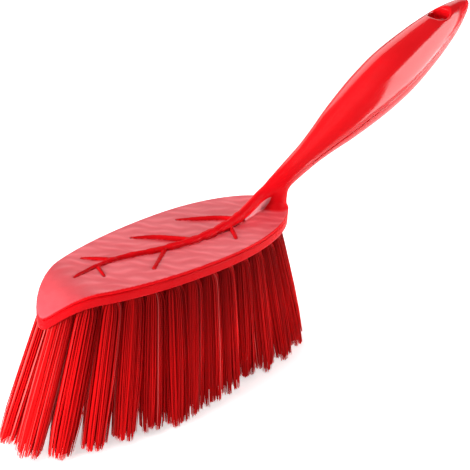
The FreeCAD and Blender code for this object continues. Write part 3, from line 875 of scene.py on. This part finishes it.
def block_shape(p):
    x, y, z = p.T
    drop, cosine = curl_drop(x)
    top = RIM_Z - COVER_THICK
    body = soft_max((z - (top - BLOCK_GAP - drop)) * cosine, (-drop - z) * cosine, 0.7)
    body = soft_max(body, outline_gap(x, y), 0.9)
    # a raised inner lip closes the gap below the cover
    lip = np.maximum.reduce([(z - (top - drop)) * cosine,
                             ((top - BLOCK_GAP - 1.2) - drop - z) * cosine,
                             outline_gap(x, y, 1.1)])
    gap = soft_min(body, lip, 0.2)
    low = np.nonzero(z < 6.0)[0]
    gap[low] = soft_max(gap[low], -tuft_holes(p[low]), 0.35)
    return gap


def make_block():
    verts, quads = surface_nets(
        block_shape, low=(LEAF_X - TIP_LENGTH, -HALF_WIDTH, -15.0),
        high=(LEAF_X + BASE_LENGTH, HALF_WIDTH, RIM_Z), step=0.6, relax_times=1)
    add_shell("tuft_block_skin", verts, quads, BLOCK_MATERIAL,
              part="tuft_block")


make_block()

for part, material in (("tuft_roots", FILAMENT_MATERIAL), ("tuft_anchors", STEEL_MATERIAL)):
    part_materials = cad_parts[part].data.materials
    part_materials.clear()
    part_materials.append(material)

# ------------------------------------------------------------------------------- filaments
# Filaments in a tuft, radius of its far end, and number of locks they gather into
BUNDLES = {
    "outer": dict(count=205, radius=6.7, locks=8),
    "middle": dict(count=115, radius=6.8, locks=6),
    "centre": dict(count=85, radius=6.8, locks=6),
}
ROOT_RADIUS = 1.85
ROOT_INSET = 2.4                # how far the filaments start inside the block
GOLDEN_ANGLE = 2.399963
# Places of the rings along a filament, as shares of its length
STATIONS = np.array([0.0, 0.03, 0.042, 0.056, 0.075, 0.11, 0.18, 0.35, 0.56, 0.80, 1.0])
SIDES = 5


def unit(vector):
    vector = np.array(vector) + 1e-9
    return vector / np.linalg.norm(vector)


def sunflower(count):
    """Angles and radii, up to 1, of points spread evenly over a disc, turned at random."""
    k = np.arange(count)
    return k * GOLDEN_ANGLE + rng.uniform(0, 6.28), np.sqrt((k + 0.5) / count)


def lay_filaments(tuft, count, radius, locks):
    """Filament centre lines, and what the mesh and its shading need to know of them."""
    x, y, root_z = tuft.root
    end_radius = radius * rng.uniform(0.94, 1.06)
    angle, from_middle = sunflower(count)
    disc = np.stack([np.cos(angle), np.sin(angle)], 1) * from_middle[:, None]
    root_offset = disc * ROOT_RADIUS
    end_offset = disc * end_radius + rng.normal(0, 0.35, (count, 2))

    # the outer tufts spread more along the edge of the block than across it
    normal_x = (x - LEAF_X) / (BASE_LENGTH if x > LEAF_X else TIP_LENGTH) ** 2
    normal_y = y / HALF_WIDTH ** 2
    along_edge = unit([-normal_y, normal_x])
    edge_reach = end_offset @ along_edge
    if tuft.row == "outer":
        end_offset += 0.13 * edge_reach[:, None] * along_edge[None]

    # the filaments stick together in locks towards their ends
    lock_angle, lock_share = sunflower(locks)
    lock_radius = lock_share * end_radius
    lock_centre = np.stack([np.cos(lock_angle) * lock_radius,
                            np.sin(lock_angle) * lock_radius], 1)
    lock_centre = lock_centre + rng.normal(0, 0.35, (locks, 2))
    distance = np.linalg.norm(end_offset[:, None] - lock_centre[None], axis=2)
    lock = distance.argmin(1)
    pull = rng.uniform(0.08, 0.42, locks)[lock]

    # how much each one falls short: by tuft, by lock, by place and at random
    short = (rng.uniform(0.0, 1.4) + rng.uniform(0.0, 1.7, locks)[lock]
             + 0.30 * distance[np.arange(count), lock] + rng.uniform(0.0, 1.0, count)
             + 1.0 * from_middle ** 4)
    short[rng.random(count) < 0.05] *= 1.7
    run_end = 1.0 - (short + 0.25) / TUFT_DEPTH
    run_start = -ROOT_INSET / TUFT_DEPTH
    run = run_start + (run_end[:, None] - run_start) * STATIONS[None]
    below = np.clip(run, 0, None)[..., None]

    # most of the spread comes soon after the root, and the ends draw in again
    end = tuft.end + rng.normal(0, 0.7, 2)
    middle = tuft.root[:2] + (end - tuft.root[:2]) * run[..., None]
    gather = ease((run - 0.45) / 0.55)[..., None] * pull[:, None, None]
    lock_line = lock_centre[lock][:, None, :] * below
    flare = 0.70 * (1 - np.exp(-below / 0.022)) + 0.30 * below
    pinch = 1.0 - rng.uniform(0.03, 0.22) * ease((below - 0.78) / 0.22)
    spread = root_offset[:, None, :] + (end_offset - root_offset)[:, None, :] * flare
    spread = (spread + (lock_line - spread) * gather) * pinch
    phase = rng.uniform(0, 6.28, (count, 2))
    size = rng.uniform(0.04, 0.26, (count, 2))
    wave = np.stack([
        np.sin(run * rng.uniform(3, 7, (count, 1)) + phase[:, k:k + 1]) * size[:, k:k + 1]
        for k in (0, 1)], 2) * below
    path_z = root_z + (-TUFT_DEPTH - root_z) * run
    path = np.concatenate([middle + spread + wave, path_z[..., None]], 2)

    # direction each point faces from the middle of its tuft and of the leaf
    tuft_radius = ROOT_RADIUS + (end_radius - ROOT_RADIUS) * flare
    lean = 0.85 * spread / tuft_radius + 0.55 * unit([normal_x, normal_y])
    lean = np.concatenate([lean, np.zeros(lean.shape[:2] + (1,))], 2)
    return path, run, lean, from_middle, edge_reach


def tubes(path, radius):
    """Tapering tubes with end caps along the paths: vertices, corners, corners per face."""
    count, rings = path.shape[:2]
    taper = np.interp(STATIONS, [0, 0.9, 1.0], [1.0, 0.92, 0.45])
    tangent = np.gradient(path, axis=1)
    tangent /= np.linalg.norm(tangent, axis=2)[..., None]
    first = np.cross(tangent, np.array([0.0, 1.0, 0.0]))
    first /= np.linalg.norm(first, axis=2)[..., None]
    second = np.cross(tangent, first)
    angle = np.arange(SIDES) * 2 * math.pi / SIDES
    circle = (np.cos(angle)[None, None, :, None] * first[:, :, None, :]
              + np.sin(angle)[None, None, :, None] * second[:, :, None, :])
    thickness = radius[:, None, None, None] * taper[None, :, None, None]
    verts = (path[:, :, None, :] + circle * thickness).reshape(-1, 3)
    sides = np.array([
        (r * SIDES + s, r * SIDES + (s + 1) % SIDES,
         (r + 1) * SIDES + (s + 1) % SIDES, (r + 1) * SIDES + s)
        for r in range(rings - 1) for s in range(SIDES)])
    offsets = (np.arange(count) * rings * SIDES)[:, None]
    root_cap = np.arange(SIDES)[::-1]
    end_cap = (rings - 1) * SIDES + np.arange(SIDES)
    loops = [(sides[None] + offsets[..., None]).ravel()]
    loops += [(cap[None] + offsets).ravel() for cap in (root_cap, end_cap)]
    totals = [np.full(count * len(sides), 4), np.full(2 * count, SIDES)]
    return verts, np.concatenate(loops), np.concatenate(totals)


def filament_tones(tuft, from_middle, edge_reach):
    """Tone of each filament: random, with painted light making the tufts lighter towards the
    leaf's ends, and a few pale ones outside as painted highlights.
    """
    x, count = tuft.root[0], len(from_middle)
    # random tone per filament, plus painted light that makes the tufts near the leaf's ends
    # lighter
    tone = (rng.beta(2.4, 2.2, count) * 0.50 + 0.08
            + 0.32 * float(ease((abs(x - LEAF_X) - 34.0) / 28.0)))
    tone = np.clip(tone, 0, 0.86)
    # pale filaments are painted highlights: a few at each tuft's edge, more of them near the tip
    pale_from = 0.86 if x > CURL_X else 0.74
    pale_chance = 0.02 if x > -45.0 else 0.10 if x > CURL_X else 0.17
    pale = (from_middle > pale_from) & (rng.random(count) < pale_chance)
    if tuft.row == "outer":
        pale[np.argsort(edge_reach)[[0, 2, -1, -3]]] = True
    tone[pale] = rng.uniform(0.92, 1.0, count)[pale]
    return tone


def make_tuft(tuft):
    bundle = BUNDLES[tuft.row]
    count = bundle["count"]
    path, run, lean, from_middle, edge_reach = lay_filaments(
        tuft, count, bundle["radius"], bundle["locks"])
    name = tuft.name + "_filaments"
    verts, loops, totals = tubes(path, radius=rng.uniform(0.23, 0.30, count))
    mesh = build_mesh(name, verts, loops, totals)
    mesh.polygons.foreach_set("use_smooth", totals == 4)
    tones = filament_tones(tuft, from_middle, edge_reach)
    set_attribute(mesh, "fil", np.repeat(tones, len(STATIONS) * SIDES))
    set_attribute(mesh, "run", np.repeat(np.clip(run, 0, 1).ravel(), SIDES))
    set_attribute(mesh, "lean", np.repeat(lean.reshape(-1, 3), SIDES, axis=0),
                  kind="FLOAT_VECTOR", field="vector")
    filaments = add_object(name, mesh)
    mesh.materials.append(FILAMENT_MATERIAL)
    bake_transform(filaments)
    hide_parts(tuft.name)


for tuft in TUFTS:
    make_tuft(tuft)


# ------------------------------------------------------------- floor, lights, world, camera
def make_floor():
    """A round floor of rings around a centre point, in metres."""
    radii, sides = (0.5, 1.0, 2.0, 4.0, 9.0), 48
    points, faces = [(0.0, 0.0, 0.0)], []
    for radius in radii:
        for k in range(sides):
            angle = 2 * math.pi * k / sides
            points.append((radius * math.cos(angle), radius * math.sin(angle), 0.0))
    for k in range(sides):
        following = (k + 1) % sides
        faces.append((0, 1 + k, 1 + following))
        for i in range(len(radii) - 1):
            near = 1 + sides * i
            far = near + sides
            faces.append((near + k, far + k, far + following, near + following))
    mesh = bpy.data.meshes.new("floor")
    mesh.from_pydata(points, [], faces)
    mesh.update()
    floor = add_object("floor", mesh)
    mesh.materials.append(floor_material())


def area_light(name, direction, distance, size, power, target=(0.0, 0.0, 0.09)):
    """A rectangular lamp set off from the target in a direction and turned to face it."""
    light = bpy.data.lights.new(name, "AREA")
    light.shape = "RECTANGLE"
    light.size, light.size_y = size
    light.energy = power
    lamp = add_object(name, light)
    away = Vector(direction).normalized()
    lamp.location = Vector(target) + away * distance
    lamp.rotation_euler = (-away).to_track_quat("-Z", "Y").to_euler()
    return lamp


def make_lights():
    # fills: name, direction from the brush, size, power
    for name, direction, size, power in (
            ("top_fill", (-0.45, 0.15, 1.0), (1.2, 1.0), 9.3),
            ("left_fill", (-1.0, 0.05, 0.10), (0.6, 0.5), 28.0),
            ("right_fill", (1.0, -0.45, 0.12), (0.6, 0.5), 22.0)):
        fill = area_light(name, direction, distance=1.3, size=size, power=power)
        fill.visible_glossy = False
    area_light("back_box", (0.60, 0.66, 0.47), distance=1.5, size=(1.9, 0.9), power=7.0)
    # a white card beside the handle, seen only in its gloss
    card = area_light("side_card", (0.50, -0.80, 0.40), distance=0.42, size=(0.40, 0.60),
                      power=3.7, target=(0.10, 0.0, 0.15))
    card.visible_diffuse = False


def make_world():
    """White to the camera, dim as a light."""
    world = bpy.data.worlds.new("studio")
    nodes = Nodes(world)
    nodes.feed(nodes.tree.nodes["Background"], {
        "Color": (1, 1, 1, 1),
        "Strength": nodes.remap(nodes.camera_ray(), to_low=0.09, to_high=1.0),
    })
    bpy.context.scene.world = world


def make_camera():
    """Stands off the leaf's tip on the -y side and looks 30 degrees down."""
    lens = bpy.data.cameras.new("camera")
    lens.sensor_width = 36.0
    lens.lens = 87.54
    lens.clip_start, lens.clip_end = 0.01, 50.0
    camera = add_object("camera", lens)
    camera.matrix_world = Matrix(((0.75853, 0.29540, -0.58083, -0.34732),
                                  (-0.65001, 0.40603, -0.64237, -0.36999),
                                  (0.04608, 0.86480, 0.50000, 0.36138),
                                  (0.0, 0.0, 0.0, 1.0)))
    bpy.context.scene.camera = camera


make_floor()
make_lights()
make_world()
make_camera()
bpy.context.scene.view_settings.view_transform = "Standard"
bpy.context.scene.view_settings.look = "None"
